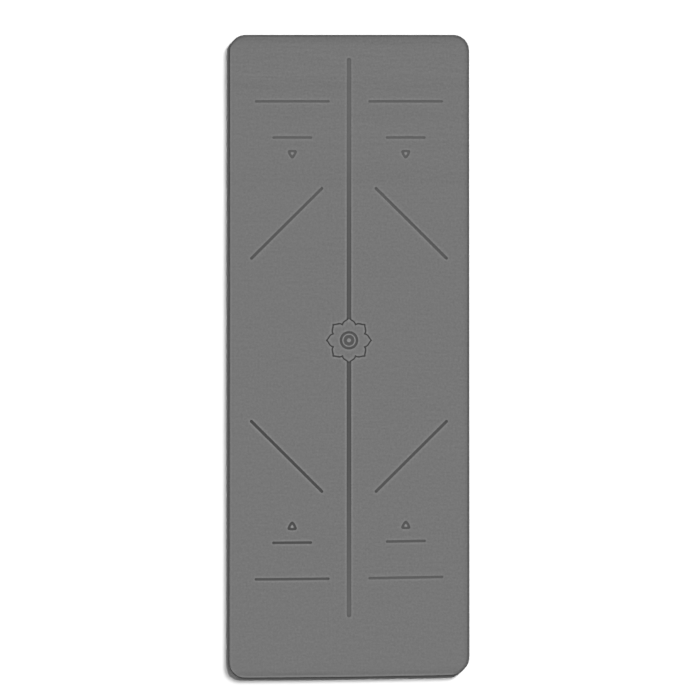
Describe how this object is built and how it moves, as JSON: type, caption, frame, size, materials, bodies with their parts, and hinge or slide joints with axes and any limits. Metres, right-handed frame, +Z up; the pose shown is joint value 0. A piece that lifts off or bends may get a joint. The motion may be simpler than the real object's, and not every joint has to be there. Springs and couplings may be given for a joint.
{
  "type": "yoga mat",
  "caption": "Flat exercise mat with rounded corners, laid out: a grip skin with etched alignment lines on a fleece backing and a rubber base.",
  "frame": {"origin": "centre of the underside, on the floor", "axes": "+X across the mat to the right, +Y along the mat to its head end, +Z up through the grip skin"},
  "size_m": [0.68, 1.83, 0.005],
  "materials": {
    "grip_skin": "cast polyurethane film, fine matte grain, neutral mid grey, etched lines a shade darker",
    "backing": "needled nonwoven fleece, light grey, shows only at the cut side",
    "base": "foamed natural rubber, dark grey, matte, die-cut side"
  },
  "bodies": {
    "root": {"pu_grip_skin": "grip_skin", "nonwoven_backing": "backing", "rubber_base": "base"}
  },
  "joints": []
}
